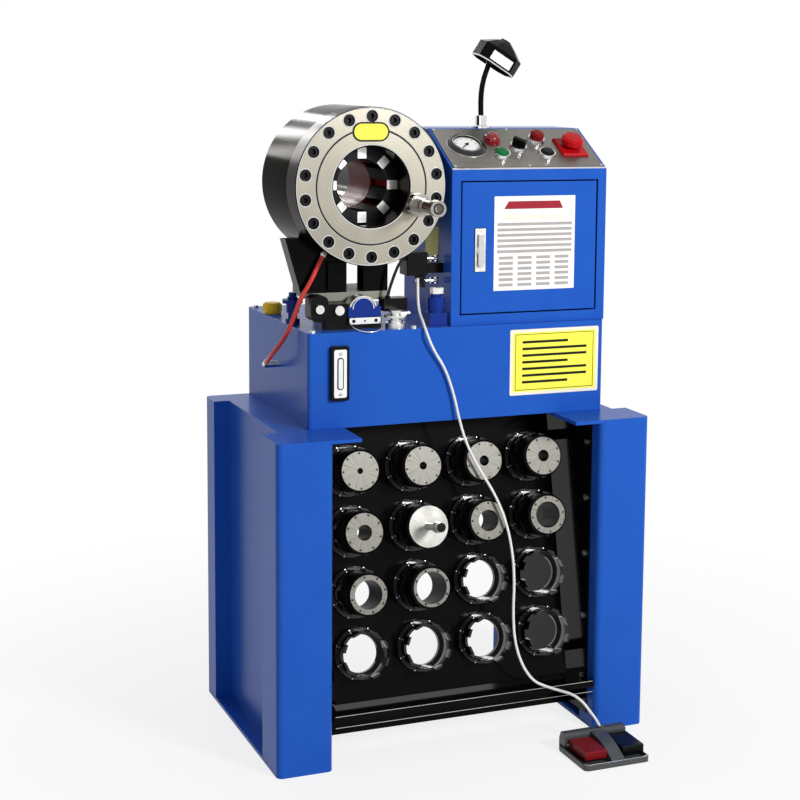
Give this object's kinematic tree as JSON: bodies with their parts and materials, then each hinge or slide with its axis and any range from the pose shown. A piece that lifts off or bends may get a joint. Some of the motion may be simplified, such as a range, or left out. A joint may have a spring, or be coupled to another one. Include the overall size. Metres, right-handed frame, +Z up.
{
  "type": "hose crimping machine",
  "caption": "Hydraulic hose crimping machine on a stand with a rack of die sets, an oil tank, a ring head with master dies, a control cabinet, a lamp and a foot pedal.",
  "frame": {"origin": "on the floor, at the centre of the four anchor holes in the feet", "axes": "+Z up, -Y towards the operator, +X to the operator's right"},
  "size_m": [0.92, 0.827, 1.6502],
  "materials": {
    "blue_paint": "gloss enamel",
    "black_paint": "satin enamel",
    "grey_paint": "satin",
    "red_paint": "gloss",
    "black_oxide_steel": "black oxide, oiled",
    "turned_steel": "turned",
    "ground_steel": "ground",
    "zinc_plate": "zinc plated",
    "brushed_steel": "brushed",
    "chrome": "polished",
    "black_plastic": "moulded",
    "grey_plastic": "moulded",
    "yellow_plastic": "moulded",
    "red_plastic": "moulded",
    "green_plastic": "moulded",
    "red_lens": "moulded lens",
    "blue_plastic": "moulded",
    "clear_acrylic": "clear moulding",
    "black_rubber": "matt",
    "red_rubber": "matt",
    "white_pvc": "satin"
  },
  "bodies": {
    "frame": {"left_leg": "blue_paint", "right_leg": "blue_paint", "oil_tank": "blue_paint", "rack_frame": "black_paint", "die_rack_panel": "black_paint", "die_cups": "black_paint", "empty_die_cups": "black_paint", "stored_die_sets": "black_oxide_steel", "level_gauge": "clear_acrylic", "head_cover": "turned_steel", "cover_screws": "black_oxide_steel", "head_cylinder": "black_oxide_steel", "bore_liner": "red_paint", "rear_hose_guide": "black_paint", "head_handle": "zinc_plate", "head_saddle": "black_paint", "head_base_plate": "grey_paint", "cabinet_shell": "blue_paint", "electrics": "grey_plastic", "control_panel": "brushed_steel", "gauge_case": "chrome", "button_bezels": "chrome", "pilot_lamp": "red_lens", "stop_collar": "red_plastic", "lamp_base": "chrome", "motor_pump": "blue_paint", "valve_block": "zinc_plate", "black_coil": "black_plastic", "blue_coils": "blue_plastic", "limit_switch": "black_plastic", "pedal_base": "black_plastic", "pedal_cord": "white_pvc", "drain_hose": "red_rubber", "switch_cable": "black_rubber", "fasteners": "zinc_plate"},
    "piston": {"piston": "ground_steel"},
    "door": {"cabinet_door": "blue_paint"},
    "latch": {"door_latch": "chrome"},
    "green_push": {"green_button": "green_plastic"},
    "black_push": {"black_button": "black_plastic"},
    "red_push": {"red_button": "red_plastic"},
    "selector": {"selector_knob": "black_plastic"},
    "stop": {"stop_button": "red_plastic"},
    "needle": {"gauge_needle": "black_plastic"},
    "neck": {"lamp_neck": "black_rubber"},
    "shade": {"lamp_shade": "black_paint"},
    "left_tread": {"red_pedal": "red_plastic"},
    "right_tread": {"black_pedal": "black_plastic"},
    "cap": {"filler_cap": "yellow_plastic"},
    "fan": {"motor_fan": "grey_plastic"},
    "rods": {"setting_rods": "chrome"},
    "tool": {"die_tool": "ground_steel"},
    "shoe_1": {"die_shoe_1": "black_oxide_steel"},
    "shoe_2": {"die_shoe_2": "black_oxide_steel"},
    "shoe_3": {"die_shoe_3": "black_oxide_steel"},
    "shoe_4": {"die_shoe_4": "black_oxide_steel"},
    "shoe_5": {"die_shoe_5": "black_oxide_steel"},
    "shoe_6": {"die_shoe_6": "black_oxide_steel"},
    "shoe_7": {"die_shoe_7": "black_oxide_steel"},
    "shoe_8": {"die_shoe_8": "black_oxide_steel"}
  },
  "joints": [
    {"name": "piston_slide", "type": "slide", "parent": "frame", "child": "piston", "axis": [0, -1, 0], "range_m": [0, 0.0386]},
    {"name": "shoe_1_slide", "type": "slide", "parent": "frame", "child": "shoe_1", "axis": [0.3827, 0, -0.9239], "range_m": [0, 0.018]},
    {"name": "shoe_2_slide", "type": "slide", "parent": "frame", "child": "shoe_2", "axis": [0.9239, 0, -0.3827], "range_m": [0, 0.018]},
    {"name": "shoe_3_slide", "type": "slide", "parent": "frame", "child": "shoe_3", "axis": [0.9239, 0, 0.3827], "range_m": [0, 0.018]},
    {"name": "shoe_4_slide", "type": "slide", "parent": "frame", "child": "shoe_4", "axis": [0.3827, 0, 0.9239], "range_m": [0, 0.018]},
    {"name": "shoe_5_slide", "type": "slide", "parent": "frame", "child": "shoe_5", "axis": [-0.3827, 0, 0.9239], "range_m": [0, 0.018]},
    {"name": "shoe_6_slide", "type": "slide", "parent": "frame", "child": "shoe_6", "axis": [-0.9239, 0, 0.3827], "range_m": [0, 0.018]},
    {"name": "shoe_7_slide", "type": "slide", "parent": "frame", "child": "shoe_7", "axis": [-0.9239, 0, -0.3827], "range_m": [0, 0.018]},
    {"name": "shoe_8_slide", "type": "slide", "parent": "frame", "child": "shoe_8", "axis": [-0.3827, 0, -0.9239], "range_m": [0, 0.018]},
    {"name": "door_hinge", "type": "hinge", "parent": "frame", "child": "door", "pos_m": [0.3705, -0.16845, 1.161], "axis": [0, 0, 1], "range_deg": [0, 105]},
    {"name": "latch_turn", "type": "hinge", "parent": "door", "child": "latch", "pos_m": [0.072, -0.172, 1.156], "axis": [0, 1, 0], "range_deg": [0, 90]},
    {"name": "green_press", "type": "slide", "parent": "frame", "child": "green_push", "axis": [0, 0.4997, -0.8662], "range_m": [0, 0.004], "stiffness_N_per_m": 400, "springref_m": -0.004},
    {"name": "black_press", "type": "slide", "parent": "frame", "child": "black_push", "axis": [0, 0.4997, -0.8662], "range_m": [0, 0.004], "stiffness_N_per_m": 400, "springref_m": -0.004},
    {"name": "red_press", "type": "slide", "parent": "frame", "child": "red_push", "axis": [0, 0.4997, -0.8662], "range_m": [0, 0.004], "stiffness_N_per_m": 400, "springref_m": -0.004},
    {"name": "stop_press", "type": "slide", "parent": "frame", "child": "stop", "axis": [0, 0.4997, -0.8662], "range_m": [0, 0.005]},
    {"name": "selector_turn", "type": "hinge", "parent": "frame", "child": "selector", "pos_m": [0.2, -0.09678, 1.38971], "axis": [0, -0.4997, 0.8662], "range_deg": [-90, 0]},
    {"name": "needle_turn", "type": "hinge", "parent": "frame", "child": "needle", "pos_m": [0.071, -0.08811, 1.3947], "axis": [0, 0.4997, -0.8662], "range_deg": [0, 270]},
    {"name": "neck_turn", "type": "hinge", "parent": "frame", "child": "neck", "pos_m": [0.15, 0.012, 1.4643], "axis": [0, 0, 1], "range_deg": [-170, 170]},
    {"name": "shade_tilt", "type": "hinge", "parent": "neck", "child": "shade", "pos_m": [0.1705, 0.012, 1.5923], "axis": [0, 1, 0], "range_deg": [-25, 20]},
    {"name": "left_tread_hinge", "type": "hinge", "parent": "frame", "child": "left_tread", "pos_m": [0.28, -0.416, 0.024], "axis": [1, 0, 0], "range_deg": [0, 4.5], "stiffness_Nm_per_rad": 2, "springref_deg": -11.46},
    {"name": "right_tread_hinge", "type": "hinge", "parent": "frame", "child": "right_tread", "pos_m": [0.28, -0.416, 0.024], "axis": [1, 0, 0], "range_deg": [0, 4.5], "stiffness_Nm_per_rad": 2, "springref_deg": -11.46},
    {"name": "cap_turn", "type": "hinge", "parent": "frame", "child": "cap", "pos_m": [-0.327, 0.172, 0.98], "axis": [0, 0, 1], "range_deg": [0, 90]},
    {"name": "fan_spin", "type": "hinge", "parent": "frame", "child": "fan", "pos_m": [0.2, 0.222, 1.2], "axis": [0, 0, 1], "continuous": true},
    {"name": "rod_setting", "type": "slide", "parent": "frame", "child": "rods", "axis": [1, 0, 0], "range_m": [-0.008, 0.008]},
    {"name": "tool_pull", "type": "slide", "parent": "frame", "child": "tool", "axis": [0, -0.9763, 0.2164], "range_m": [0, 0.12]}
  ],
  "couplings": [
    {"joint": "shoe_1_slide", "follows": "piston_slide", "ratio": 0.4663},
    {"joint": "shoe_2_slide", "follows": "piston_slide", "ratio": 0.4663},
    {"joint": "shoe_3_slide", "follows": "piston_slide", "ratio": 0.4663},
    {"joint": "shoe_4_slide", "follows": "piston_slide", "ratio": 0.4663},
    {"joint": "shoe_5_slide", "follows": "piston_slide", "ratio": 0.4663},
    {"joint": "shoe_6_slide", "follows": "piston_slide", "ratio": 0.4663},
    {"joint": "shoe_7_slide", "follows": "piston_slide", "ratio": 0.4663},
    {"joint": "shoe_8_slide", "follows": "piston_slide", "ratio": 0.4663}
  ]
}
